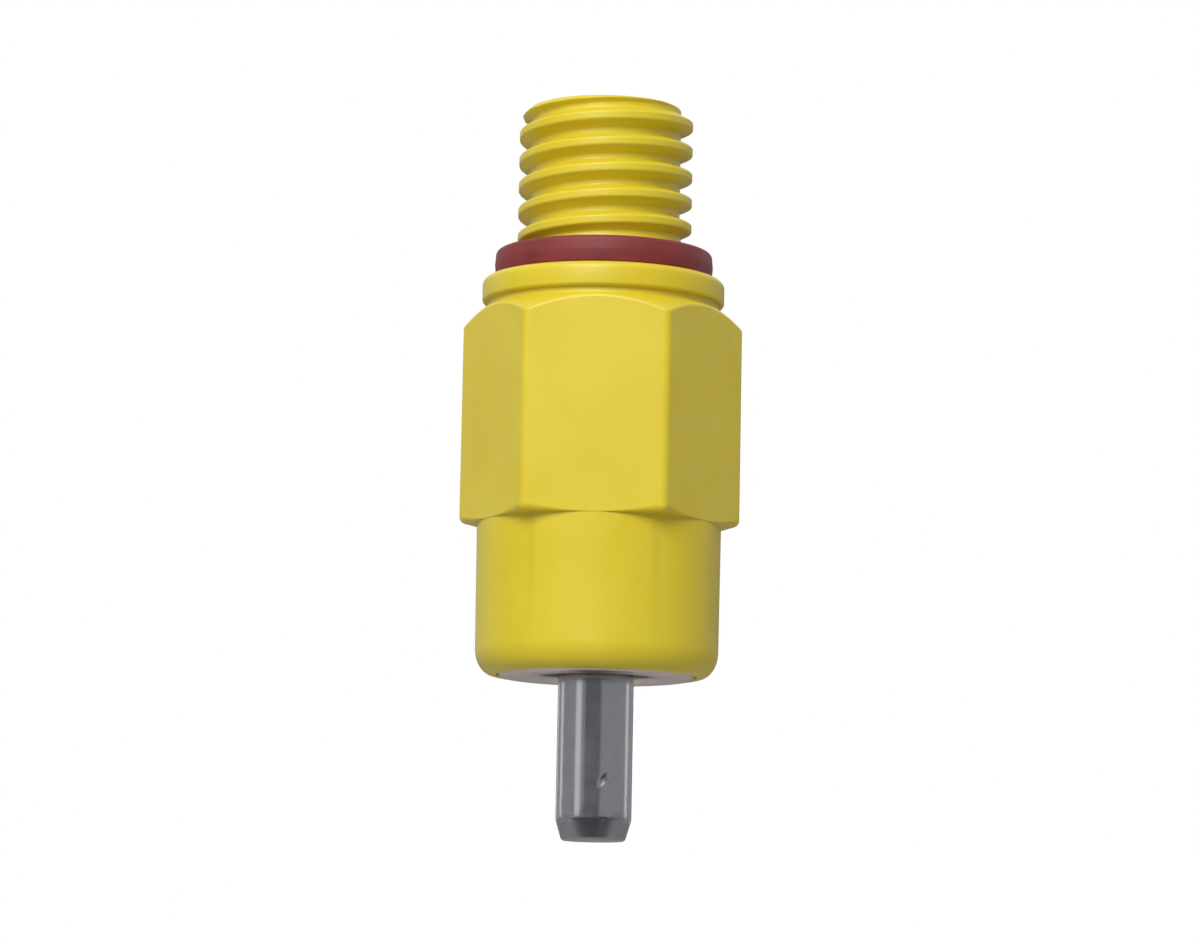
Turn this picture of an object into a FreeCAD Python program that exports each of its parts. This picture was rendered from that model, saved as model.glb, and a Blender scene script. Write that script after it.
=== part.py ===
"""Screw-in nipple drinker for poultry: a plastic housing with a steel valve casing, and a steel pin to peck at.

The housing screws up into a hole in the underside of a water pipe. Water passes the screen, the ball and the
valve pin, and runs down the trigger pin. Pushing the trigger pin up lifts the valve pin and the ball off their
seats. Pushing it aside rocks its round head in the casing's conical seat.

Millimetres and degrees. +Z points up into the pipe. The origin is on the axis, at the top of the rubber pipe
seal, where the pipe's wall comes. Two of the hexagon's flats face -Y and +Y.
"""
import FreeCAD
import Part

import math
import os

# Movement of the trigger pin
TRIGGER_LIFT = 1.2
TRIGGER_TILT = 10.0     # to each side

# Clearances
FIT_GAP = 0.05          # radial, round a piece that is pressed in
VALVE_GAP = 0.05        # between a valve's face and its seat
SWING_GAP = 0.12        # between the tilted trigger pin and the edge of the opening
STOP_GAP = 0.13         # left when a piece is lifted all the way to its stop
CHAMBER_GAP = 0.4       # round the trigger pin's head
HEAD_GAP = 0.35         # above the lifted and tilted head
STEM_GAP = 0.6          # round the valve pin's stem, where water passes
SPACER_GAP = 0.6        # round the valve pin's head
BALL_GAP = 0.6          # round the ball
RIB_GAP = 0.12          # between the ball stop's ribs and the bore

# The most of a wall or a corner that an eased edge takes, so that a thinner wall keeps its form
EDGE_SHARE = 0.4        # where the wall's other edge is eased too
LONE_EDGE_SHARE = 0.9   # where it isn't

# Pipe seal, flange and the groove under the flange
SEAL_THICKNESS = 1.6
SEAL_INSET = 0.75       # from the flange's edge in to the seal's
NECK_DEPTH = 0.4        # of the relief under the thread, from its crests in
FLANGE_OVERHANG = 1.95  # beyond the thread's crests
FLANGE_THICKNESS = 1.4
FLANGE_CHAMFER = 0.4
GROOVE_WIDTH = 0.4
GROOVE_DEPTH = 0.35

# Threaded spigot, modelled as a plain cylinder over the crests
THREAD_LENGTH = 8.4
THREAD_WALL = 1.5       # from the inlet's wide part out to the crests
THREAD_CHAMFER = 0.6
INLET_LEAD = 0.3
INLET_STEP = 0.3

# Hexagon and barrel
HEX_WALL = 1.32         # at a flat, outside the casing's bore
HEX_CORNER_RADIUS = 0.5
HEX_FOOT_CHAMFER = 0.35
HEX_CHAMFER_ANGLE = 39.0
HEX_CHAMFER_INSET = 0.2  # from a flat in to the chamfer's circle
SHOULDER_THICKNESS = 3.5  # above the casing, up to the hexagon's top
BARREL_WALL = 1.22
BARREL_LENGTH = 8.65
BARREL_EDGE_RADIUS = 1.1

# Trigger pin
PIN_DIAMETER = 4.3
PIN_PROJECTION = 9.3    # below the barrel
PIN_TIP_TAPER = 0.35
PIN_TIP_LENGTH = 1.2
PIN_TIP_CHAMFER = 0.2
HEAD_RISE = 1.0         # from the head's centre up to its flat top
HEAD_CHAMFER = 0.3

# Valve casing
CASING_WALL = 0.8
CASING_PROUD = 0.1      # below the barrel's lower end
CASING_STEP = 0.25      # the ledge under the seat disc
OPENING_LAND = 2.8      # length of the straight opening, with its lead
OPENING_LEAD = 0.3
SEAT_ANGLE = 30.0       # between the conical seat and the axis
SEAT_LAND = 0.36        # from the opening's wall out to where the head seats

# Stack in the casing, from the ledge up
DISC_THICKNESS = 1.8
WASHER_THICKNESS = 1.1
WASHER_INSET = 0.4      # of the washer's hole from the disc's
CARRIER_THICKNESS = 1.5
BALL_SEAL_THICKNESS = 1.0

# Valve pin and ball
STEM_DIAMETER = 2.6
STEM_CHAMFER = 0.3
VALVE_HEAD_OVERHANG = 0.9
VALVE_HEAD_HEIGHT = 0.9
VALVE_CONE_ANGLE = 45.0   # of the cone under the head, from the axis
LIFTER_DIAMETER = 2.2   # the thin upper stem, which lifts the ball
BALL_DIAMETER = 5.2
BALL_SEAT_INSET = 0.7   # from the ball's side in to the edge that it seats on

# Ball stop, filter screen and its retainer
STOP_RING_THICKNESS = 1.2
STOP_RING_WIDTH = 0.85
RIB_COUNT = 4
RIB_THICKNESS = 0.8
SCREEN_THICKNESS = 0.3
SCREEN_HOLE = 0.45      # side of a square hole
SCREEN_WIRE = 0.25      # between two holes
RETAINER_HEIGHT = 2.6
RETAINER_WIDTH = 0.7
RETAINER_LEAD = 0.28
RETAINER_RECESS = 0.3   # below the spigot's end


def sin(degrees):
    return math.sin(math.radians(degrees))


def cos(degrees):
    return math.cos(math.radians(degrees))


def tan(degrees):
    return math.tan(math.radians(degrees))


# The opening clears the shank of the lifted and tilted pin at the top of its lead. How far that edge lies below
# the centre of the head depends on the opening's own radius, so the radius is solved for.
pin_r = PIN_DIAMETER / 2
seat_drop = (SEAT_LAND / cos(SEAT_ANGLE) + VALVE_GAP) / sin(SEAT_ANGLE)
swing_depth = TRIGGER_LIFT + seat_drop + OPENING_LAND - OPENING_LEAD
swing_reach = swing_depth * tan(TRIGGER_TILT) + pin_r / cos(TRIGGER_TILT) + SWING_GAP
opening_r = swing_reach / (1 - tan(SEAT_ANGLE) * tan(TRIGGER_TILT))
head_r = (opening_r + SEAT_LAND) / cos(SEAT_ANGLE)
head_depth = OPENING_LAND + seat_drop + opening_r * tan(SEAT_ANGLE)   # from the head's centre to the casing's foot
head_top_r = math.sqrt(head_r ** 2 - HEAD_RISE ** 2)
tilted_rise = HEAD_RISE * cos(TRIGGER_TILT) + head_top_r * sin(TRIGGER_TILT)

# Radii of the casing and its stack, from the head out
chamber_r = head_r + CHAMBER_GAP
casing_r = chamber_r + CASING_WALL
casing_bore_r = casing_r + FIT_GAP
stack_bore_r = chamber_r + CASING_STEP
stack_r = stack_bore_r - FIT_GAP
hex_r = casing_bore_r + HEX_WALL
barrel_r = casing_bore_r + BARREL_WALL

# Radii of the valve pin, the ball and their seats
stem_r = STEM_DIAMETER / 2
disc_hole_r = stem_r + STEM_GAP
washer_hole_r = disc_hole_r + WASHER_INSET
valve_head_r = washer_hole_r + VALVE_HEAD_OVERHANG
spacer_hole_r = valve_head_r + SPACER_GAP
ball_r = BALL_DIAMETER / 2
ball_seat_r = ball_r - BALL_SEAT_INSET
lifter_r = LIFTER_DIAMETER / 2

# Radii of the inlet, the thread, the flange and the pipe seal
inlet_r = ball_r + BALL_GAP
inlet_top_r = inlet_r + INLET_STEP
inlet_fit_r = inlet_top_r - FIT_GAP
retainer_hole_r = inlet_fit_r - RETAINER_WIDTH
thread_r = inlet_top_r + THREAD_WALL
neck_r = thread_r - NECK_DEPTH
flange_r = thread_r + FLANGE_OVERHANG
groove_r = flange_r - GROOVE_DEPTH
seal_r = flange_r - SEAL_INSET

# Levels, from the pipe's wall down
flange_top = -SEAL_THICKNESS
flange_bottom = flange_top - FLANGE_THICKNESS
hex_top = flange_bottom - GROOVE_WIDTH
casing_top = hex_top - SHOULDER_THICKNESS
carrier_top = casing_top - BALL_SEAL_THICKNESS
carrier_bottom = carrier_top - CARRIER_THICKNESS
valve_head_top = carrier_bottom - STOP_GAP - TRIGGER_LIFT
valve_head_foot = valve_head_top - VALVE_HEAD_HEIGHT
washer_top = valve_head_foot - VALVE_HEAD_OVERHANG / tan(VALVE_CONE_ANGLE) - VALVE_GAP / sin(VALVE_CONE_ANGLE)
disc_top = washer_top - WASHER_THICKNESS
disc_bottom = disc_top - DISC_THICKNESS
head_z = disc_bottom - HEAD_GAP - tilted_rise - TRIGGER_LIFT
head_top = head_z + HEAD_RISE
casing_bottom = head_z - head_depth
housing_bottom = casing_bottom + CASING_PROUD
hex_bottom = housing_bottom + BARREL_LENGTH
pin_tip = housing_bottom - PIN_PROJECTION

# The tilted head's top rises under the rim of the valve pin's foot, and the foot stands clear of it.
stem_foot = head_top + stem_r * tan(TRIGGER_TILT) + HEAD_RISE * (1 / cos(TRIGGER_TILT) - 1) + VALVE_GAP

# Levels, from the ball seal up
ball_z = casing_top + math.sqrt((ball_r + VALVE_GAP) ** 2 - ball_seat_r ** 2)
lifter_top = ball_z - ball_r - VALVE_GAP
rib_foot = ball_z + ball_r + TRIGGER_LIFT + STOP_GAP
retainer_top = THREAD_LENGTH - RETAINER_RECESS
screen_top = retainer_top - RETAINER_HEIGHT
screen_bottom = screen_top - SCREEN_THICKNESS
inlet_ledge = screen_bottom - STOP_RING_THICKNESS


def turned(*corners):
    """The solid that a closed outline of corners (r, z) sweeps in a full turn about Z."""
    points = [FreeCAD.Vector(r, 0, z) for r, z in corners]
    face = Part.Face(Part.makePolygon(points + points[:1]))
    return face.revolve(FreeCAD.Vector(0, 0, 0), FreeCAD.Vector(0, 0, 1), 360)


def edges_at(shape, level):
    """The edges of a shape that lie flat at one level."""
    margin = 1e-4
    return [e for e in shape.Edges if abs(e.BoundBox.ZMin - level) < margin and abs(e.BoundBox.ZMax - level) < margin]


def make_hexagon():
    """The wrench hexagon: rounded uprights, a chamfer along its foot and a turned chamfer at its top."""
    corner_r = hex_r / cos(30)
    corners = [FreeCAD.Vector(corner_r * cos(60 * i), corner_r * sin(60 * i), hex_bottom) for i in range(6)]
    outline = Part.Face(Part.makePolygon(corners + corners[:1]))
    prism = outline.extrude(FreeCAD.Vector(0, 0, hex_top - hex_bottom))
    uprights = [e for e in prism.Edges if e.BoundBox.ZLength > e.BoundBox.DiagonalLength / 2]
    prism = prism.makeFillet(HEX_CORNER_RADIUS, uprights)
    prism = prism.makeChamfer(min(HEX_FOOT_CHAMFER, LONE_EDGE_SHARE * HEX_CORNER_RADIUS), edges_at(prism, hex_bottom))
    top_r = hex_r - HEX_CHAMFER_INSET
    chamfer_foot = hex_top - (corner_r - top_r) * tan(HEX_CHAMFER_ANGLE)
    turning = turned((0, hex_bottom), (corner_r, hex_bottom), (corner_r, chamfer_foot), (top_r, hex_top), (0, hex_top))
    return prism.common(turning)


def make_housing():
    """One moulding: the spigot, flange, hexagon and barrel, bored through for the inlet and the casing."""
    chamfer = min(THREAD_CHAMFER, EDGE_SHARE * THREAD_WALL)
    spigot = turned((0, flange_top), (neck_r, flange_top), (neck_r, 0), (thread_r, 0),
                    (thread_r, THREAD_LENGTH - chamfer), (thread_r - chamfer, THREAD_LENGTH), (0, THREAD_LENGTH))
    edge = min(FLANGE_CHAMFER, EDGE_SHARE * FLANGE_THICKNESS)
    flange = turned((0, hex_top), (groove_r, hex_top), (groove_r, flange_bottom), (flange_r - edge, flange_bottom),
                    (flange_r, flange_bottom + edge), (flange_r, flange_top - edge), (flange_r - edge, flange_top),
                    (0, flange_top))
    barrel_top = hex_bottom + HEX_FOOT_CHAMFER
    barrel = turned((0, housing_bottom), (barrel_r, housing_bottom), (barrel_r, barrel_top), (0, barrel_top))
    barrel = barrel.makeFillet(min(BARREL_EDGE_RADIUS, LONE_EDGE_SHARE * BARREL_WALL), edges_at(barrel, housing_bottom))
    lead = min(INLET_LEAD, EDGE_SHARE * THREAD_WALL)
    inlet = turned((0, casing_top), (inlet_r, casing_top), (inlet_r, inlet_ledge), (inlet_top_r, inlet_ledge),
                   (inlet_top_r, THREAD_LENGTH - lead), (inlet_top_r + lead, THREAD_LENGTH), (0, THREAD_LENGTH))
    casing_bore = turned((0, housing_bottom), (casing_bore_r, housing_bottom), (casing_bore_r, casing_top),
                         (0, casing_top))
    body = make_hexagon().multiFuse([spigot, flange, barrel]).removeSplitter()
    return body.cut([inlet, casing_bore])


def make_pipe_seal():
    """Rubber ring that slips over the thread, and that the flange squeezes against the pipe."""
    hole_r = thread_r + FIT_GAP
    return turned((hole_r, flange_top), (seal_r, flange_top), (seal_r, 0), (hole_r, 0))


def make_valve_casing():
    """Turned steel cup with the trigger pin's opening, its conical seat, and a ledge for the stack."""
    seat_bottom = casing_bottom + OPENING_LAND
    seat_top = seat_bottom + (chamber_r - opening_r) / tan(SEAT_ANGLE)
    edge = min(OPENING_LEAD, EDGE_SHARE * CASING_WALL)
    return turned((opening_r + OPENING_LEAD, casing_bottom), (casing_r - edge, casing_bottom),
                  (casing_r, casing_bottom + edge), (casing_r, casing_top), (stack_bore_r, casing_top),
                  (stack_bore_r, disc_bottom), (chamber_r, disc_bottom), (chamber_r, seat_top),
                  (opening_r, seat_bottom), (opening_r, casing_bottom + OPENING_LEAD))


def make_trigger_pin():
    """The pin that is pecked, with a round head that rocks about its own centre."""
    shank = turned((0, pin_tip), (pin_r - PIN_TIP_TAPER - PIN_TIP_CHAMFER, pin_tip),
                   (pin_r - PIN_TIP_TAPER, pin_tip + PIN_TIP_CHAMFER), (pin_r, pin_tip + PIN_TIP_LENGTH),
                   (pin_r, head_z), (0, head_z))
    head = Part.makeSphere(head_r, FreeCAD.Vector(0, 0, head_z))
    rim_z = head_top - HEAD_CHAMFER
    turning = turned((0, head_z - head_r), (head_r, head_z - head_r), (head_r, rim_z),
                     (head_top_r - HEAD_CHAMFER, head_top), (0, head_top))
    return shank.fuse(head.common(turning)).removeSplitter()


def make_seat_disc():
    """Steel disc on the casing's ledge, which carries the washer and guides the valve pin's stem."""
    return turned((disc_hole_r, disc_bottom), (stack_r, disc_bottom), (stack_r, disc_top), (disc_hole_r, disc_top))


def make_seat_washer():
    """Rubber washer that the valve pin's cone closes on."""
    return turned((washer_hole_r, disc_top), (stack_r, disc_top), (stack_r, washer_top), (washer_hole_r, washer_top))


def make_spacer_ring():
    """Plastic ring that holds the washer down and leaves room for the valve pin's head."""
    return turned((spacer_hole_r, washer_top), (stack_r, washer_top), (stack_r, carrier_bottom),
                  (spacer_hole_r, carrier_bottom))


def make_ball_seat_carrier():
    """Steel ring under the ball seal, which also stops the valve pin's head."""
    return turned((ball_seat_r, carrier_bottom), (stack_r, carrier_bottom), (stack_r, carrier_top),
                  (ball_seat_r, carrier_top))


def make_ball_seal():
    """Rubber ring clamped under the housing's shoulder, with the edge that the ball closes on."""
    return turned((ball_seat_r, carrier_top), (stack_r, carrier_top), (stack_r, casing_top),
                  (ball_seat_r, casing_top))


def make_valve_pin():
    """Valve pin: a foot over the trigger pin's head, a sealing cone, and a thin stem that lifts the ball."""
    cone_foot = valve_head_foot - (valve_head_r - stem_r) / tan(VALVE_CONE_ANGLE)
    return turned((0, stem_foot), (stem_r - STEM_CHAMFER, stem_foot), (stem_r, stem_foot + STEM_CHAMFER),
                  (stem_r, cone_foot), (valve_head_r, valve_head_foot), (valve_head_r, valve_head_top),
                  (lifter_r, valve_head_top), (lifter_r, lifter_top - STEM_CHAMFER),
                  (lifter_r - STEM_CHAMFER, lifter_top), (0, lifter_top))


def make_valve_ball():
    return Part.makeSphere(ball_r, FreeCAD.Vector(0, 0, ball_z))


def make_ball_stop():
    """Ring on the inlet's ledge, with upright ribs that meet on the axis and stop the ball."""
    hole_r = inlet_fit_r - STOP_RING_WIDTH
    ring = turned((hole_r, inlet_ledge), (inlet_fit_r, inlet_ledge), (inlet_fit_r, screen_bottom),
                  (hole_r, screen_bottom))
    rib_reach = inlet_r - RIB_GAP
    ribs = []
    for i in range(RIB_COUNT):
        rib = Part.makeBox(rib_reach, RIB_THICKNESS, screen_bottom - rib_foot,
                           FreeCAD.Vector(0, -RIB_THICKNESS / 2, rib_foot))
        rib.rotate(FreeCAD.Vector(0, 0, 0), FreeCAD.Vector(0, 0, 1), 360 * i / RIB_COUNT)
        ribs.append(rib)
    bore = turned((0, rib_foot), (rib_reach, rib_foot), (rib_reach, screen_bottom), (0, screen_bottom))
    cross = ribs[0].multiFuse(ribs[1:]).common(bore)
    return ring.fuse(cross).removeSplitter()


def make_filter_screen():
    """Steel mesh disc, with square holes as far out as the retainer's bore."""
    pitch = SCREEN_HOLE + SCREEN_WIRE
    reach = int(retainer_hole_r / pitch)
    holes = []
    for column in range(-reach, reach + 1):
        for row in range(-reach, reach + 1):
            corner = FreeCAD.Vector(column * pitch - SCREEN_HOLE / 2, row * pitch - SCREEN_HOLE / 2, screen_bottom)
            far_corner = math.hypot(abs(column) * pitch + SCREEN_HOLE / 2, abs(row) * pitch + SCREEN_HOLE / 2)
            if far_corner < retainer_hole_r:
                holes.append(Part.makeBox(SCREEN_HOLE, SCREEN_HOLE, SCREEN_THICKNESS, corner))
    disc = Part.makeCylinder(inlet_fit_r, SCREEN_THICKNESS, FreeCAD.Vector(0, 0, screen_bottom))
    return disc.cut(holes)


def make_screen_retainer():
    """Plastic ring pressed into the inlet over the screen, with a wide mouth."""
    lead = min(RETAINER_LEAD, EDGE_SHARE * RETAINER_WIDTH)
    return turned((retainer_hole_r, screen_top), (inlet_fit_r, screen_top), (inlet_fit_r, retainer_top),
                  (retainer_hole_r + lead, retainer_top), (retainer_hole_r, retainer_top - lead))


def main():
    os.makedirs("parts", exist_ok=True)
    shapes = {
        "housing": make_housing(),
        "pipe_seal": make_pipe_seal(),
        "valve_casing": make_valve_casing(),
        "trigger_pin": make_trigger_pin(),
        "seat_disc": make_seat_disc(),
        "seat_washer": make_seat_washer(),
        "spacer_ring": make_spacer_ring(),
        "valve_pin": make_valve_pin(),
        "ball_seat_carrier": make_ball_seat_carrier(),
        "ball_seal": make_ball_seal(),
        "valve_ball": make_valve_ball(),
        "ball_stop": make_ball_stop(),
        "filter_screen": make_filter_screen(),
        "screen_retainer": make_screen_retainer(),
    }
    for name, shape in shapes.items():
        shape.exportStep(os.path.join("parts", name + ".step"))


main()
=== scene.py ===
"""Finished surfaces, studio and camera for the poultry nipple drinker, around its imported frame.

Sizes are in millimetres and angles in degrees. Sizes become metres when a mesh is made. +Z points up into the
pipe, the trigger pin hangs down, and two of the hexagon's flats face -Y and +Y.
"""
import math
import random

import bmesh
import bpy
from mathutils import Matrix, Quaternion, Vector


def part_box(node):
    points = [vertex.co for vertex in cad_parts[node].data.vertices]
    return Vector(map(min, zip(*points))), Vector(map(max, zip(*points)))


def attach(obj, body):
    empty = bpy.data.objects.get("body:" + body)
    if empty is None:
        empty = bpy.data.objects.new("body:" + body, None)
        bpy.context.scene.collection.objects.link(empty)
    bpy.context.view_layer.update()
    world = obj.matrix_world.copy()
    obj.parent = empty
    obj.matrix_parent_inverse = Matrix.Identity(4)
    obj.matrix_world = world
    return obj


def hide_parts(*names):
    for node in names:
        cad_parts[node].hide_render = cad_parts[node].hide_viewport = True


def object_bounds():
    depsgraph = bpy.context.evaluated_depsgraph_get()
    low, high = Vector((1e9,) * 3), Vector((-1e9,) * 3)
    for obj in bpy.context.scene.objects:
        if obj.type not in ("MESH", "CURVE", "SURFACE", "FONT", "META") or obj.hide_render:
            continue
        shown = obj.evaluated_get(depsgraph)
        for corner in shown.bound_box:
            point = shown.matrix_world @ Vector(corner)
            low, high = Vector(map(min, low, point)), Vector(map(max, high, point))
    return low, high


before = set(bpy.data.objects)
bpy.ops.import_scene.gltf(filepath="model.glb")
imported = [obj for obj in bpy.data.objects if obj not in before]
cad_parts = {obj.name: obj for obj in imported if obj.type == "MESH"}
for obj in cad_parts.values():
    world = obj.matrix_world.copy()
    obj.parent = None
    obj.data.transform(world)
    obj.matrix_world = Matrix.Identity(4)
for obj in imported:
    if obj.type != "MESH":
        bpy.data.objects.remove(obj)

cad_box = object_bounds()
MM = 0.001

# Housing: what its box doesn't give
FLANGE_R = 6.95
FLANGE_THICKNESS = 1.4
GROOVE_R = 6.6
GROOVE_WIDTH = 0.4
NECK_R = 4.6
THREAD_R = 5.0
THREAD_PITCH = 1.5
THREAD_DEPTH = 0.7
THREAD_CHAMFER = 0.6
THREAD_ROOT = 0.18       # half width of the groove's floor, as a share of half the pitch
THREAD_FLANK = 0.58      # width of a flank, as the same share
THREAD_RUN_OUT = 1.2     # over which the groove's depth comes to the neck's
HEX_CORNER_EASE = 0.5
HEX_TOP_INSET = 0.2
HEX_CHAMFER_SLOPE = math.tan(math.radians(39))
BARREL_R = 6.97
BARREL_LENGTH = 8.65
BARREL_DRAFT = 0.05      # how far the mould's draft draws the barrel's foot in
BARREL_FOOT_WIDTH = 1.05   # of the elliptical rounding at its foot
BARREL_FOOT_HEIGHT = 1.5
CASING_BORE_R = 5.676
INLET_R = 3.2
INLET_TOP_R = 3.5
INLET_LEAD = 0.3
STOP_RING_THICKNESS = 1.2

# Valve casing and trigger pin
OPENING_R = 3.473
OPENING_LAND = 2.8
SEAT_SLOPE = math.tan(math.radians(30))   # how far the seat opens for each millimetre up
CHAMBER_R = 4.826
STACK_BORE_R = 5.076
PIN_R = 2.15
TIP_TAPER = 0.35
TIP_LENGTH = 1.2
HEAD_RISE = 1.0          # from the round head's centre up to its flat top
HEAD_CHAMFER = 0.3
HEAD_FLAT_R = 4.0
DENT_REACH = 1.2         # how far from its middle a dent is still worked out

# Screen and its retainer
RETAINER_WIDTH = 0.7
WIRE_PITCH = 0.7
WIRE_WIDTH = 0.24

# Studio
CAMERA_DISTANCE = 240.0
CAMERA_LEVEL = -44.5
CAMERA_AZIMUTH = 2.8
CAMERA_ROLL = 1.1
CAMERA_LENS = 127.0
LAMP_AIM = -12.0         # height of the spot that the lamp faces
FLOOR_LEVEL = -90.0
FLOOR_REACH = 1500.0
CARD_DISTANCE = 420.0
CARD_RISE = 110.0        # of a standing card's top and foot from the origin's level
LOW_CARD_GAP = 8.0       # above the floor
LOW_CARD_SIDE = 250.0
LOW_CARD_NEAR = -50.0
LOW_CARD_FAR = -400.0


def cos(degrees):
    return math.cos(math.radians(degrees))


def sin(degrees):
    return math.sin(math.radians(degrees))


def reach(node):
    """Radius, foot and top of a CAD node in millimetres."""
    low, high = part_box(node)
    return high[0] / MM, low[2] / MM, high[2] / MM


# ---- Shapes ----

def eased(corners):
    """An outline's points, from its corners (r, z, easing radius, steps). One with no steps stays sharp."""
    points = []
    for i, (r, z, ease, steps) in enumerate(corners):
        corner = Vector((r, z))
        if not steps:
            points.append(corner)
            continue
        back = Vector(corners[i - 1][:2]) - corner
        ahead = Vector(corners[(i + 1) % len(corners)][:2]) - corner
        half = back.angle(ahead) / 2
        run = min(ease / math.tan(half), back.length * 0.49, ahead.length * 0.49)
        middle = corner + (back.normalized() + ahead.normalized()).normalized() * run / math.cos(half)
        first = corner + back.normalized() * run - middle
        last = corner + ahead.normalized() * run - middle
        start = math.atan2(first.y, first.x)
        sweep = (math.atan2(last.y, last.x) - start + math.pi) % math.tau - math.pi
        for step in range(steps + 1):
            turn = start + sweep * step / steps
            points.append(middle + first.length * Vector((math.cos(turn), math.sin(turn))))
    return points


def finish_mesh(name, bm, body, material):
    """Makes a piece of the bmesh, smooth with true flats, that rides on a body and takes a material slot."""
    bmesh.ops.recalc_face_normals(bm, faces=bm.faces)
    mesh = bpy.data.meshes.new(name)
    bm.to_mesh(mesh)
    bm.free()
    mesh.shade_smooth()
    mesh.materials.append(material)
    piece = bpy.data.objects.new(name, mesh)
    bpy.context.scene.collection.objects.link(piece)
    piece.modifiers.new("true_flats", "WEIGHTED_NORMAL").weight = 80
    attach(piece, body)
    return piece


def turned_skin(outline_at, angles, solid=False):
    """A watertight skin with the outline that outline_at gives at each angle. A solid one ends on the axis."""
    bm = bmesh.new()
    columns = []
    for angle in angles:
        column = []
        for r, z in outline_at(angle):
            column.append(bm.verts.new(Vector((r * cos(angle), r * sin(angle), z)) * MM))
        columns.append(column)
    rows = len(columns[0])
    for column, neighbour in zip(columns, columns[1:] + columns[:1]):
        for row in range(rows - 1 if solid else rows):
            below = (row + 1) % rows
            bm.faces.new((column[row], column[below], neighbour[below], neighbour[row]))
    if solid:
        for row in (0, rows - 1):
            bmesh.ops.remove_doubles(bm, verts=[column[row] for column in columns], dist=1e-6)
    return bm


def hexagon_r(angle, flat_r):
    """Distance from the axis to the hexagon's outline, with rounded corners at 0, 60, 120 degrees and so on."""
    off = abs((angle + 30) % 60 - 30)            # from the nearest corner
    arc_r = (flat_r - HEX_CORNER_EASE) / cos(30)   # to the middle of the corner's arc
    edge_off = math.degrees(math.atan2(HEX_CORNER_EASE * sin(30), arc_r + HEX_CORNER_EASE * cos(30)))
    if off >= edge_off:
        return flat_r / cos(30 - off)
    return arc_r * cos(off) + math.sqrt(HEX_CORNER_EASE ** 2 - (arc_r * sin(off)) ** 2)


def hexagon_angles():
    """Angles round the housing, close together over the hexagon's rounded corners."""
    near = [0, 0.3, 0.6, 0.9, 1.2, 1.5, 1.81, 2.4, 3.5]
    far = [3.5 + (30 - 3.5) * step / 13 for step in range(1, 14)]
    half = near + far
    side = half + [60 - angle for angle in reversed(half[1:-1])]
    return [60 * i + angle for i in range(6) for angle in side]


def thread_dip(z, angle):
    """How far the right-handed thread's groove cuts in from its crests, which are rounded by the mould."""
    turn = (z / THREAD_PITCH - angle / 360) % 1
    aside = abs(turn - 0.5) * 2                   # 0 in the middle of the groove, 1 on the crest
    flank = min(max((aside - THREAD_ROOT) / THREAD_FLANK, 0), 1)
    neck_depth = THREAD_R - NECK_R
    depth = neck_depth + (THREAD_DEPTH - neck_depth) * min(max(z, 0) / THREAD_RUN_OUT, 1)
    return depth * (1 - flank * flank * (3 - 2 * flank))


def housing_outline(angle, flat_r, foot, top):
    """Outline of the housing at one angle: down the outside from the spigot's mouth, and up the bores."""
    flange_top = reach("pipe_seal")[1]
    flange_foot = flange_top - FLANGE_THICKNESS
    hex_top = flange_foot - GROOVE_WIDTH
    hex_foot = foot + BARREL_LENGTH
    hex_r = hexagon_r(angle, flat_r)
    rim_r = flat_r - HEX_TOP_INSET
    overhang = hex_r - BARREL_R
    thread = []
    rows = 134
    for row in range(rows + 1):
        z = (top - 0.06) * (1 - row / rows)
        crest_r = min(THREAD_R, THREAD_R - THREAD_CHAMFER + top - z)
        thread.append((min(crest_r, THREAD_R - thread_dip(z, angle)), z, 0, 0))
    rounding = []
    steps = 14
    for step in range(steps + 1):
        turn = 90 * step / steps
        rounding.append((BARREL_R - BARREL_DRAFT - BARREL_FOOT_WIDTH * (1 - cos(turn)),
                         foot + BARREL_FOOT_HEIGHT * (1 - sin(turn)), 0, 0))
    shoulder = reach("valve_casing")[2]
    ledge = reach("ball_stop")[2] - STOP_RING_THICKNESS
    return eased([
        (INLET_TOP_R + INLET_LEAD, top, 0.06, 2), (THREAD_R - THREAD_CHAMFER - 0.1, top, 0.05, 2), *thread,
        (NECK_R, -0.03, 0, 0), (NECK_R, flange_top, 0.1, 2),
        (FLANGE_R, flange_top, 0.42, 6), (FLANGE_R, flange_foot, 0.5, 6),
        (GROOVE_R, flange_foot, 0.06, 2), (GROOVE_R, hex_top, 0.06, 2),
        (rim_r, hex_top, 0.1, 3), (hex_r, hex_top - (hex_r - rim_r) * HEX_CHAMFER_SLOPE, 0.3, 5),
        (hex_r, hex_foot, min(0.42, overhang * 0.8), 6), (BARREL_R, hex_foot, min(0.12, overhang * 0.2), 3),
        *rounding, (CASING_BORE_R, foot, 0.08, 2),
        (CASING_BORE_R, shoulder, 0.05, 1), (INLET_R, shoulder, 0.1, 2),
        (INLET_R, ledge, 0.05, 1), (INLET_TOP_R, ledge, 0.05, 1), (INLET_TOP_R, top - INLET_LEAD, 0.1, 2),
    ])


def make_housing(material):
    foot, top = reach("housing")[1:]
    flat_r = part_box("housing")[1][1] / MM
    skin = turned_skin(lambda angle: housing_outline(angle, flat_r, foot, top), hexagon_angles())
    piece = finish_mesh("moulded_housing", skin, "housing", material)
    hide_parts("housing")


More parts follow.
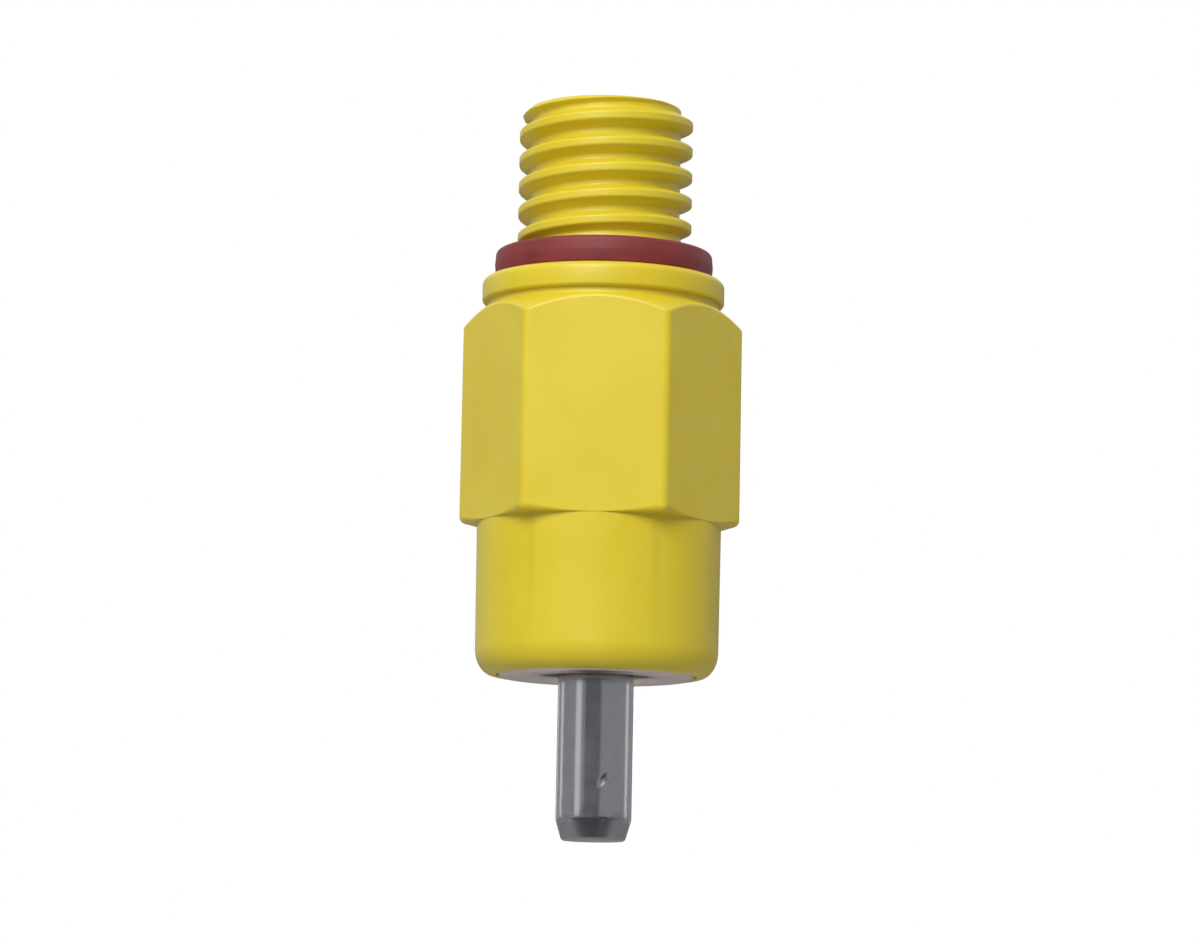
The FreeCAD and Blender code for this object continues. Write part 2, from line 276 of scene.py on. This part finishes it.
def make_seal(material):
    """The pipe seal, whose rim bulges a little as it is squeezed."""
    rim_r, foot, top = reach("pipe_seal")
    hole_r = THREAD_R + 0.05
    middle = (foot + top) / 2
    outline = eased([(hole_r, foot, 0.15, 3), (rim_r, foot, 0.25, 5), (rim_r + 0.07, middle, 1.0, 8),
                     (rim_r, top, 0.25, 5), (hole_r, top, 0.15, 3)])
    skin = turned_skin(lambda angle: outline, [360 * i / 160 for i in range(160)])
    piece = finish_mesh("rubber_pipe_seal", skin, "housing", material)
    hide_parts("pipe_seal")


def make_casing(material):
    """The valve casing, with the opening's turned lead and the conical seat seen through it."""
    rim_r, foot, top = reach("valve_casing")
    stack_foot = reach("seat_disc")[1]
    seat_foot = foot + OPENING_LAND
    seat_top = seat_foot + (CHAMBER_R - OPENING_R) / SEAT_SLOPE
    outline = eased([
        (OPENING_R, foot, 0.3, 6), (rim_r, foot, 0.3, 6), (rim_r, top, 0.08, 2), (STACK_BORE_R, top, 0.08, 2),
        (STACK_BORE_R, stack_foot, 0.04, 1), (CHAMBER_R, stack_foot, 0.04, 1), (CHAMBER_R, seat_top, 0.1, 2),
        (OPENING_R, seat_foot, 0.12, 3)])
    skin = turned_skin(lambda angle: outline, [360 * i / 200 for i in range(200)])
    piece = finish_mesh("turned_valve_casing", skin, "housing", material)
    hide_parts("valve_casing")


def make_retainer(material):
    rim_r, foot, top = reach("screen_retainer")
    hole_r = rim_r - RETAINER_WIDTH
    outline = eased([(hole_r, foot, 0.04, 1), (rim_r, foot, 0.08, 2), (rim_r, top, 0.12, 3),
                     (hole_r, top, 0.28, 5)])
    skin = turned_skin(lambda angle: outline, [360 * i / 120 for i in range(120)])
    piece = finish_mesh("moulded_screen_retainer", skin, "housing", material)
    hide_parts("screen_retainer")


def make_trigger(material):
    """The trigger pin, with the dents that tumbling and pecking leave near its end."""
    head_r, tip, head_top = reach("trigger_pin")
    head_z = head_top - HEAD_RISE
    neck_z = head_z - math.sqrt(head_r ** 2 - PIN_R ** 2)
    corners = [(0, tip, 0, 0), (PIN_R - TIP_TAPER, tip, 0.22, 6), (PIN_R, tip + TIP_LENGTH, 0.9, 6)]
    rows = 150
    shank_foot = tip + TIP_LENGTH + 1.0
    corners += [(PIN_R, shank_foot + (neck_z - 0.3 - shank_foot) * row / rows, 0, 0) for row in range(rows + 1)]
    corners.append((PIN_R, neck_z, 0.2, 4))
    low_turn = math.asin((neck_z - head_z) / head_r)
    high_turn = math.asin((HEAD_RISE - HEAD_CHAMFER) / head_r)
    steps = 24
    for step in range(1, steps + 1):
        turn = low_turn + (high_turn - low_turn) * step / steps
        corners.append((head_r * math.cos(turn), head_z + head_r * math.sin(turn), 0, 0))
    corners += [(HEAD_FLAT_R, head_top, 0.2, 4), (0, head_top, 0, 0)]
    outline = eased(corners)

    # Each dent: the angle from the front towards the right, its height over the tip, its half width across and
    # along the pin, the lean of its long way, and its depth
    dents = [(17, 3.35, 0.16, 0.42, 35, 0.06), (26, 3.0, 0.2, 0.3, -20, 0.04), (19, 0.9, 0.22, 0.3, -30, 0.05),
             (-4, 1.6, 0.13, 0.2, 0, 0.012), (-44, 2.1, 0.3, 0.25, 20, 0.035), (33, 1.9, 0.12, 0.3, 50, 0.012)]
    chance = random.Random(7)
    for _ in range(30):
        dents.append((chance.uniform(-180, 180), abs(chance.gauss(0, 2.6)) + 0.3, chance.uniform(0.05, 0.16),
                      chance.uniform(0.08, 0.3), chance.uniform(-60, 60), chance.uniform(0.002, 0.008)))

    def dented(angle):
        points = []
        for r, z in outline:
            if z < neck_z and r > 1.0:
                for at, up, across, along, lean, depth in dents:
                    height = z - tip - up
                    aside = math.radians((angle + 90 - at + 180) % 360 - 180) * PIN_R
                    if max(abs(height), abs(aside)) > DENT_REACH:
                        continue
                    u = (aside * cos(lean) - height * sin(lean)) / across
                    v = (aside * sin(lean) + height * cos(lean)) / along
                    r -= depth * math.exp(-u * u - v * v)
            points.append((r, z))
        return points

    skin = turned_skin(dented, [360 * i / 220 for i in range(220)], solid=True)
    piece = finish_mesh("tumbled_trigger_pin", skin, "trigger", material)
    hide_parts("trigger_pin")


def make_screen(material):
    """The filter screen: flattened wires in plain weave, each going over one and under the next."""
    rim_r, foot, top = reach("filter_screen")
    rim_r -= 0.06
    wire_height = (top - foot) / 2
    middle = (foot + top) / 2
    count = int(rim_r / WIRE_PITCH)
    sides = 10
    bm = bmesh.new()
    for way in (0, 1):
        for line in range(-count, count + 1):
            offset = line * WIRE_PITCH
            half = math.sqrt(rim_r ** 2 - offset ** 2)
            steps = max(8, round(half / WIRE_PITCH * 16))
            rings = []
            for step in range(steps + 1):
                run = half * (2 * step / steps - 1)
                swing = wire_height / 2 * math.cos(math.pi * (run / WIRE_PITCH + line)) * (1 if way else -1)
                ring = []
                for side in range(sides):
                    turn = math.tau * side / sides
                    across = offset + WIRE_WIDTH / 2 * math.cos(turn)
                    up = middle + swing + wire_height / 2 * math.sin(turn)
                    ring.append(bm.verts.new(Vector((across, run, up) if way else (run, across, up)) * MM))
                rings.append(ring)
            for ring, following in zip(rings, rings[1:]):
                for side in range(sides):
                    beside = (side + 1) % sides
                    bm.faces.new((ring[side], ring[beside], following[beside], following[side]))
            bm.faces.new(rings[0])
            bm.faces.new(rings[-1])
    piece = finish_mesh("woven_filter_screen", bm, "housing", material)
    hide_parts("filter_screen")


# ---- Materials ----

NOISE_MIDDLE = {"From Min": 0.3, "From Max": 0.7}   # the part of its range that a noise texture mostly fills


def tint(code):
    """An sRGB hex colour as linear RGBA."""
    channels = [int(code[i:i + 2], 16) / 255 for i in (1, 3, 5)]
    return [c / 12.92 if c <= 0.04045 else ((c + 0.055) / 1.055) ** 2.4 for c in channels] + [1.0]


def add(tree, kind, inputs=None, **settings):
    """Adds a node with its settings. inputs gives a socket, by name or number, a value or an output to link."""
    node = tree.nodes.new(kind)
    for key, value in settings.items():
        setattr(node, key, value)
    for key, value in (inputs or {}).items():
        if isinstance(value, bpy.types.NodeSocket):
            tree.links.new(value, node.inputs[key])
        else:
            node.inputs[key].default_value = value
    return node


def per(size):
    """The texture scale at which one feature is that many millimetres wide."""
    return 1 / (size * MM)


def empty_tree(owner):
    """The node tree of a material or world, emptied."""
    owner.use_nodes = True
    owner.node_tree.nodes.clear()
    return owner.node_tree


def new_material(name):
    """A material, its empty tree, and the coordinates that lie still on its piece."""
    material = bpy.data.materials.new(name)
    tree = empty_tree(material)
    place = add(tree, "ShaderNodeTexCoord").outputs["Object"]
    return material, tree, place


def moulded_yellow_acetal():
    """Acetal from a polished mould: satin gloss, a little light in its depth, flow marks and a faint peel."""
    material, tree, place = new_material("moulded_yellow_acetal")
    flow = add(tree, "ShaderNodeTexNoise", {"Vector": place, "Scale": per(5.0), "Detail": 3.0,
                                            "Distortion": 0.6})
    cloud = add(tree, "ShaderNodeMapRange", {"Value": flow.outputs["Fac"], **NOISE_MIDDLE})
    colour = add(tree, "ShaderNodeMix", {"Factor": cloud.outputs["Result"], "A": tint("#DDC626"),
                                         "B": tint("#E1CD31")}, data_type="RGBA")
    handled = add(tree, "ShaderNodeTexNoise", {"Vector": place, "Scale": per(1.6), "Detail": 4.0})
    rough = add(tree, "ShaderNodeMapRange", {"Value": handled.outputs["Fac"], **NOISE_MIDDLE,
                                             "To Min": 0.34, "To Max": 0.46})
    peel = add(tree, "ShaderNodeTexNoise", {"Vector": place, "Scale": per(0.3), "Detail": 2.0})
    wave = add(tree, "ShaderNodeTexNoise", {"Vector": place, "Scale": per(2.5), "Detail": 1.0})
    swell = add(tree, "ShaderNodeBump", {"Strength": 1.0, "Distance": 0.02 * MM, "Height": wave.outputs["Fac"]})
    skin = add(tree, "ShaderNodeBump", {"Strength": 1.0, "Distance": 0.003 * MM, "Height": peel.outputs["Fac"],
                                        "Normal": swell.outputs["Normal"]})
    shader = add(tree, "ShaderNodeBsdfPrincipled", {
        "Base Color": colour.outputs["Result"], "Roughness": rough.outputs["Result"], "IOR": 1.48,
        "Normal": skin.outputs["Normal"], "Subsurface Weight": 0.12, "Subsurface Radius": (1.0, 0.8, 0.25),
        "Subsurface Scale": 0.5 * MM})
    add(tree, "ShaderNodeOutputMaterial", {"Surface": shader.outputs["BSDF"]})
    return material


def moulded_red_rubber():
    """Soft rubber from a blasted mould: matt, fine-grained, with a pale bloom in patches."""
    material, tree, place = new_material("moulded_red_rubber")
    bloom = add(tree, "ShaderNodeTexNoise", {"Vector": place, "Scale": per(1.8), "Detail": 5.0})
    patchy = add(tree, "ShaderNodeMapRange", {"Value": bloom.outputs["Fac"], **NOISE_MIDDLE})
    colour = add(tree, "ShaderNodeMix", {"Factor": patchy.outputs["Result"], "A": tint("#701C20"),
                                         "B": tint("#82292B")}, data_type="RGBA")
    rough = add(tree, "ShaderNodeMapRange", {"Value": bloom.outputs["Fac"], **NOISE_MIDDLE,
                                             "To Min": 0.5, "To Max": 0.68})
    grain = add(tree, "ShaderNodeTexNoise", {"Vector": place, "Scale": per(0.12), "Detail": 2.0})
    skin = add(tree, "ShaderNodeBump", {"Strength": 1.0, "Distance": 0.006 * MM,
                                        "Height": grain.outputs["Fac"]})
    shader = add(tree, "ShaderNodeBsdfPrincipled", {
        "Base Color": colour.outputs["Result"], "Roughness": rough.outputs["Result"], "IOR": 1.52,
        "Normal": skin.outputs["Normal"]})
    add(tree, "ShaderNodeOutputMaterial", {"Surface": shader.outputs["BSDF"]})
    return material


def moulded_black_rubber():
    """Nitrile rubber: nearly black, matt, with a fine moulded grain."""
    material, tree, place = new_material("moulded_black_rubber")
    grain = add(tree, "ShaderNodeTexNoise", {"Vector": place, "Scale": per(0.15), "Detail": 3.0})
    colour = add(tree, "ShaderNodeMix", {"Factor": grain.outputs["Fac"], "A": tint("#161616"),
                                         "B": tint("#242423")}, data_type="RGBA")
    skin = add(tree, "ShaderNodeBump", {"Strength": 1.0, "Distance": 0.006 * MM,
                                        "Height": grain.outputs["Fac"]})
    shader = add(tree, "ShaderNodeBsdfPrincipled", {
        "Base Color": colour.outputs["Result"], "Roughness": 0.55, "IOR": 1.52,
        "Normal": skin.outputs["Normal"]})
    add(tree, "ShaderNodeOutputMaterial", {"Surface": shader.outputs["BSDF"]})
    return material


def natural_acetal():
    """Uncoloured acetal: milky white, light sinks into it, and a satin skin."""
    material, tree, place = new_material("natural_acetal")
    flow = add(tree, "ShaderNodeTexNoise", {"Vector": place, "Scale": per(2.5), "Detail": 3.0})
    colour = add(tree, "ShaderNodeMix", {"Factor": flow.outputs["Fac"], "A": tint("#DEDDD3"),
                                         "B": tint("#ECEBE4")}, data_type="RGBA")
    peel = add(tree, "ShaderNodeTexNoise", {"Vector": place, "Scale": per(0.25), "Detail": 2.0})
    skin = add(tree, "ShaderNodeBump", {"Strength": 1.0, "Distance": 0.003 * MM, "Height": peel.outputs["Fac"]})
    shader = add(tree, "ShaderNodeBsdfPrincipled", {
        "Base Color": colour.outputs["Result"], "Roughness": 0.38, "IOR": 1.48,
        "Normal": skin.outputs["Normal"], "Subsurface Weight": 0.25, "Subsurface Radius": (1.0, 0.95, 0.85),
        "Subsurface Scale": 0.6 * MM})
    add(tree, "ShaderNodeOutputMaterial", {"Surface": shader.outputs["BSDF"]})
    return material


def turned_stainless_steel():
    """Stainless steel off the lathe: fine rings round the axis, a warm grey, and a soft reflection."""
    material, tree, place = new_material("turned_stainless_steel")
    flat = add(tree, "ShaderNodeVectorMath", {0: place, 1: (1.0, 1.0, 0.0)}, operation="MULTIPLY")
    radius = add(tree, "ShaderNodeVectorMath", {0: flat.outputs["Vector"]}, operation="LENGTH")
    height = add(tree, "ShaderNodeSeparateXYZ", {"Vector": place})
    section = add(tree, "ShaderNodeCombineXYZ", {"X": radius.outputs["Value"], "Y": height.outputs["Z"]})
    rings = add(tree, "ShaderNodeTexNoise", {"Vector": section.outputs["Vector"], "Scale": per(0.09),
                                             "Detail": 2.0})
    stain = add(tree, "ShaderNodeTexNoise", {"Vector": place, "Scale": per(1.5), "Detail": 4.0})
    patchy = add(tree, "ShaderNodeMapRange", {"Value": stain.outputs["Fac"], **NOISE_MIDDLE})
    colour = add(tree, "ShaderNodeMix", {"Factor": patchy.outputs["Result"], "A": tint("#B5A69E"),
                                         "B": tint("#C6B9B2")}, data_type="RGBA")
    rough = add(tree, "ShaderNodeMapRange", {"Value": rings.outputs["Fac"], **NOISE_MIDDLE,
                                             "To Min": 0.26, "To Max": 0.4})
    grooves = add(tree, "ShaderNodeBump", {"Strength": 1.0, "Distance": 0.004 * MM,
                                           "Height": rings.outputs["Fac"]})
    shader = add(tree, "ShaderNodeBsdfPrincipled", {
        "Base Color": colour.outputs["Result"], "Metallic": 1.0, "Roughness": rough.outputs["Result"],
        "Normal": grooves.outputs["Normal"]})
    add(tree, "ShaderNodeOutputMaterial", {"Surface": shader.outputs["BSDF"]})
    return material


def tumbled_stainless_steel(tip=None):
    """Stainless steel, ground and then tumbled: nearly a mirror, with hairlines and nicks. tip is the level of
    the trigger pin's end, which is duller where it was cut off and darker by a painted dark reflection."""
    material, tree, place = new_material("tumbled_stainless_steel" if tip is None else "tumbled_pin_steel_painted_dark_tip")
    stretched = add(tree, "ShaderNodeVectorMath", {0: place, 1: (1.0, 1.0, 0.12)}, operation="MULTIPLY")
    hairs = add(tree, "ShaderNodeTexNoise", {"Vector": stretched.outputs["Vector"], "Scale": per(0.12),
                                             "Detail": 3.0})
    patches = add(tree, "ShaderNodeTexNoise", {"Vector": place, "Scale": per(0.9), "Detail": 5.0})
    nicks = add(tree, "ShaderNodeTexVoronoi", {"Vector": place, "Scale": per(0.55), "Randomness": 1.0})
    pits = add(tree, "ShaderNodeMapRange", {"Value": nicks.outputs["Distance"], "From Min": 0.02,
                                            "From Max": 0.16})
    patchy = add(tree, "ShaderNodeMapRange", {"Value": patches.outputs["Fac"], **NOISE_MIDDLE})
    colour = add(tree, "ShaderNodeMix", {"Factor": patchy.outputs["Result"], "A": tint("#ABADB2"),
                                         "B": tint("#B3B4B8")}, data_type="RGBA").outputs["Result"]
    rough = add(tree, "ShaderNodeMapRange", {"Value": patches.outputs["Fac"], **NOISE_MIDDLE,
                                             "To Min": 0.13, "To Max": 0.19}).outputs["Result"]
    if tip is not None:
        height = add(tree, "ShaderNodeSeparateXYZ", {"Vector": place})
        stray = add(tree, "ShaderNodeMapRange", {"Value": patches.outputs["Fac"], **NOISE_MIDDLE,
                                                 "To Min": -0.4 * MM, "To Max": 0.4 * MM})
        ragged = add(tree, "ShaderNodeMath", {0: stray.outputs["Result"], 1: height.outputs["Z"]},
                     operation="ADD")
        # Painted dark reflection on the pin's end: its colour darkens towards #8A8B8F here, and this mask also
        # raises roughness
        end = add(tree, "ShaderNodeMapRange", {
            "Value": ragged.outputs["Value"], "From Min": (tip + 0.9) * MM, "From Max": (tip + 1.5) * MM,
            "To Min": 1.0, "To Max": 0.0}).outputs["Result"]
        colour = add(tree, "ShaderNodeMix", {"Factor": end, "A": colour, "B": tint("#8A8B8F")},
                     data_type="RGBA").outputs["Result"]
        rough = add(tree, "ShaderNodeMath", {0: end, 1: 0.14, 2: rough},
                    operation="MULTIPLY_ADD").outputs["Value"]
    lines = add(tree, "ShaderNodeBump", {"Strength": 1.0, "Distance": 0.0008 * MM,
                                         "Height": hairs.outputs["Fac"]})
    dimples = add(tree, "ShaderNodeBump", {"Strength": 1.0, "Distance": 0.004 * MM,
                                           "Height": pits.outputs["Result"],
                                           "Normal": lines.outputs["Normal"]})
    shader = add(tree, "ShaderNodeBsdfPrincipled", {
        "Base Color": colour, "Metallic": 1.0, "Roughness": rough, "Normal": dimples.outputs["Normal"]})
    add(tree, "ShaderNodeOutputMaterial", {"Surface": shader.outputs["BSDF"]})
    return material


def lapped_ball_steel():
    """Stainless steel ball, lapped: near mirror, with the faintest haze."""
    material, tree, place = new_material("lapped_ball_steel")
    haze = add(tree, "ShaderNodeTexNoise", {"Vector": place, "Scale": per(1.0), "Detail": 4.0})
    colour = add(tree, "ShaderNodeMix", {"Factor": haze.outputs["Fac"], "A": tint("#C2C2C4"),
                                         "B": tint("#CECED0")}, data_type="RGBA")
    rough = add(tree, "ShaderNodeMapRange", {"Value": haze.outputs["Fac"], **NOISE_MIDDLE,
                                             "To Min": 0.06, "To Max": 0.12})
    shader = add(tree, "ShaderNodeBsdfPrincipled", {
        "Base Color": colour.outputs["Result"], "Metallic": 1.0, "Roughness": rough.outputs["Result"]})
    add(tree, "ShaderNodeOutputMaterial", {"Surface": shader.outputs["BSDF"]})
    return material


def drawn_wire_steel():
    """Drawn and rolled stainless wire: satin, with faint streaks."""
    material, tree, place = new_material("drawn_wire_steel")
    streaks = add(tree, "ShaderNodeTexNoise", {"Vector": place, "Scale": per(0.2), "Detail": 3.0})
    colour = add(tree, "ShaderNodeMix", {"Factor": streaks.outputs["Fac"], "A": tint("#A3A3A3"),
                                         "B": tint("#BDBCBA")}, data_type="RGBA")
    rough = add(tree, "ShaderNodeMapRange", {"Value": streaks.outputs["Fac"], **NOISE_MIDDLE,
                                             "To Min": 0.24, "To Max": 0.36})
    shader = add(tree, "ShaderNodeBsdfPrincipled", {
        "Base Color": colour.outputs["Result"], "Metallic": 1.0, "Roughness": rough.outputs["Result"]})
    add(tree, "ShaderNodeOutputMaterial", {"Surface": shader.outputs["BSDF"]})
    return material


def studio_paper():
    """Matt white paper with a faint tooth. It throws less light back up at the object than it shows, so that
    the object's underside stays in shade, and it is clear from below, so that a view from there is open."""
    material, tree, place = new_material("studio_paper")
    tooth = add(tree, "ShaderNodeTexNoise", {"Vector": place, "Scale": per(1.0), "Detail": 2.0})
    colour = add(tree, "ShaderNodeMix", {"Factor": tooth.outputs["Fac"], "A": tint("#E6E5E3"),
                                         "B": tint("#EAE9E7")}, data_type="RGBA")
    path = add(tree, "ShaderNodeLightPath")
    shade = add(tree, "ShaderNodeMix", {"Factor": path.outputs["Is Diffuse Ray"], "A": colour.outputs["Result"],
                                        "B": tint("#B2B0AA")}, data_type="RGBA")
    paper = add(tree, "ShaderNodeBsdfPrincipled", {"Base Color": shade.outputs["Result"], "Roughness": 0.9})
    side = add(tree, "ShaderNodeNewGeometry")
    clear = add(tree, "ShaderNodeBsdfTransparent")
    both = add(tree, "ShaderNodeMixShader", {0: side.outputs["Backfacing"], 1: paper.outputs["BSDF"],
                                             2: clear.outputs["BSDF"]})
    add(tree, "ShaderNodeOutputMaterial", {"Surface": both.outputs["Shader"]})
    return material


def grey_card(name, code):
    """Glowing grey sheet, no lamp: a painted reflection that gives the steel a plain stripe of that grey."""
    material = bpy.data.materials.new(name)
    tree = empty_tree(material)
    glow = add(tree, "ShaderNodeEmission", {"Color": tint(code), "Strength": 1.0})
    add(tree, "ShaderNodeOutputMaterial", {"Surface": glow.outputs["Emission"]})
    return material


# ---- Studio ----

def light_world():
    """A white surround for the eye and for reflections, and a softer one for the light that it sheds."""
    world = bpy.data.worlds.new("studio_surround")
    bpy.context.scene.world = world
    tree = empty_tree(world)
    path = add(tree, "ShaderNodeLightPath")
    seen = add(tree, "ShaderNodeMath", {0: path.outputs["Is Camera Ray"], 1: path.outputs["Is Glossy Ray"]},
               operation="MAXIMUM")
    shown = add(tree, "ShaderNodeMath", {0: seen.outputs["Value"], 1: path.outputs["Is Transmission Ray"]},
                operation="MAXIMUM")
    shed = add(tree, "ShaderNodeBackground", {"Color": tint("#FFFFFF"), "Strength": 0.36})
    white = add(tree, "ShaderNodeBackground", {"Color": tint("#FFFFFF"), "Strength": 1.0})
    both = add(tree, "ShaderNodeMixShader", {0: shown.outputs["Value"], 1: shed.outputs["Background"],
                                             2: white.outputs["Background"]})
    add(tree, "ShaderNodeOutputWorld", {"Surface": both.outputs["Shader"]})


def make_sheet(name, corners, material):
    """A flat sheet of the studio between four corners."""
    mesh = bpy.data.meshes.new(name)
    mesh.from_pydata([Vector(corner) * MM for corner in corners], [], [(0, 1, 2, 3)])
    mesh.materials.append(material)
    sheet = bpy.data.objects.new(name, mesh)
    bpy.context.scene.collection.objects.link(sheet)
    return sheet


def level_corners(left, right, near, far, level):
    """The corners of a level sheet that faces up."""
    return [(left, near, level), (right, near, level), (right, far, level), (left, far, level)]


def lay_floor():
    corners = level_corners(-FLOOR_REACH, FLOOR_REACH, -FLOOR_REACH, FLOOR_REACH, FLOOR_LEVEL)
    floor = make_sheet("studio_floor", corners, studio_paper())


def make_card(name, corners, material):
    """A card that only reflections see."""
    card = make_sheet(name, corners, material)
    card.visible_camera = False
    card.visible_diffuse = False
    card.visible_transmission = False
    card.visible_shadow = False


def place_cards():
    """A ring of cards, with gaps through which the steel catches the white surround, and a low one."""
    # Glowing cards that paint reflections: the dark front one and the low one stand in for a dark room
    dark = grey_card("dark_grey_card", "#7A7B7E")
    middle = grey_card("middle_grey_card", "#ADADB0")
    # Each card: the azimuths of its two uprights, as a lamp's, and its grey
    ring = [(-28, 20, dark), (-40, -28, middle), (-110, -58, middle), (20, 110, middle),
            (124, 160, middle), (160, 204, dark), (214, 236, middle)]
    for number, (start, end, material) in enumerate(ring):
        corners = []
        for turn, level in ((start, -CARD_RISE), (end, -CARD_RISE), (end, CARD_RISE), (start, CARD_RISE)):
            corners.append((CARD_DISTANCE * sin(turn), -CARD_DISTANCE * cos(turn), level))
        make_card(f"ring_card_{number}", corners, material)
    level = FLOOR_LEVEL + LOW_CARD_GAP
    corners = level_corners(-LOW_CARD_SIDE, LOW_CARD_SIDE, LOW_CARD_FAR, LOW_CARD_NEAR, level)
    make_card("low_card", corners, grey_card("black_card", "#5A5A5E"))


def aimed(location, target):
    """The turn that points a lamp or a camera at a place, with its top up."""
    return (Vector(target) - Vector(location)).to_track_quat("-Z", "Y")


def hang_lamp(name, azimuth, elevation, distance, size, power):
    """A softbox that faces the object, with its distance and size in metres. Azimuth 0 is in front of the
    object, and grows towards +X."""
    lamp = bpy.data.lights.new(name, "AREA")
    lamp.shape = "SQUARE"
    lamp.size = size
    lamp.energy = power
    holder = bpy.data.objects.new(name, lamp)
    target = Vector((0, 0, LAMP_AIM * MM))
    way = Vector((sin(azimuth) * cos(elevation), -cos(azimuth) * cos(elevation), sin(elevation)))
    holder.location = target + way * distance
    holder.rotation_mode = "QUATERNION"
    holder.rotation_quaternion = aimed(holder.location, target)
    bpy.context.scene.collection.objects.link(holder)


def set_camera():
    """The camera stands below the drinker and looks a little up at it."""
    lens = bpy.data.cameras.new("studio_camera")
    lens.lens = CAMERA_LENS
    lens.sensor_width = 36
    lens.clip_start = 0.01
    camera = bpy.data.objects.new("studio_camera", lens)
    low, high = cad_box
    target = Vector((0, 0, (low[2] + high[2]) / 2))
    camera.location = Vector((sin(CAMERA_AZIMUTH) * CAMERA_DISTANCE, -cos(CAMERA_AZIMUTH) * CAMERA_DISTANCE,
                              CAMERA_LEVEL)) * MM
    camera.rotation_mode = "QUATERNION"
    camera.rotation_quaternion = (aimed(camera.location, target)
                                  @ Quaternion((0, 0, 1), math.radians(CAMERA_ROLL)))
    bpy.context.scene.collection.objects.link(camera)
    bpy.context.scene.camera = camera


def dress_nodes(material, *nodes):
    """Gives CAD nodes that keep their own shape a finished material."""
    for name in nodes:
        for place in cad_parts[name].material_slots:
            place.material = material


def main():
    yellow = moulded_yellow_acetal()
    white = natural_acetal()
    black = moulded_black_rubber()
    turned = turned_stainless_steel()
    make_housing(yellow)
    make_seal(moulded_red_rubber())
    make_casing(turned)
    make_trigger(tumbled_stainless_steel(reach("trigger_pin")[1]))
    make_screen(drawn_wire_steel())
    make_retainer(white)
    dress_nodes(turned, "seat_disc", "ball_seat_carrier")
    dress_nodes(tumbled_stainless_steel(), "valve_pin")
    dress_nodes(lapped_ball_steel(), "valve_ball")
    dress_nodes(black, "seat_washer", "ball_seal")
    dress_nodes(white, "spacer_ring", "ball_stop")
    light_world()
    lay_floor()
    place_cards()
    hang_lamp("key_softbox", azimuth=-13, elevation=36, distance=0.5, size=0.3, power=2.15)
    set_camera()
    bpy.context.scene.view_settings.view_transform = "Standard"


main()
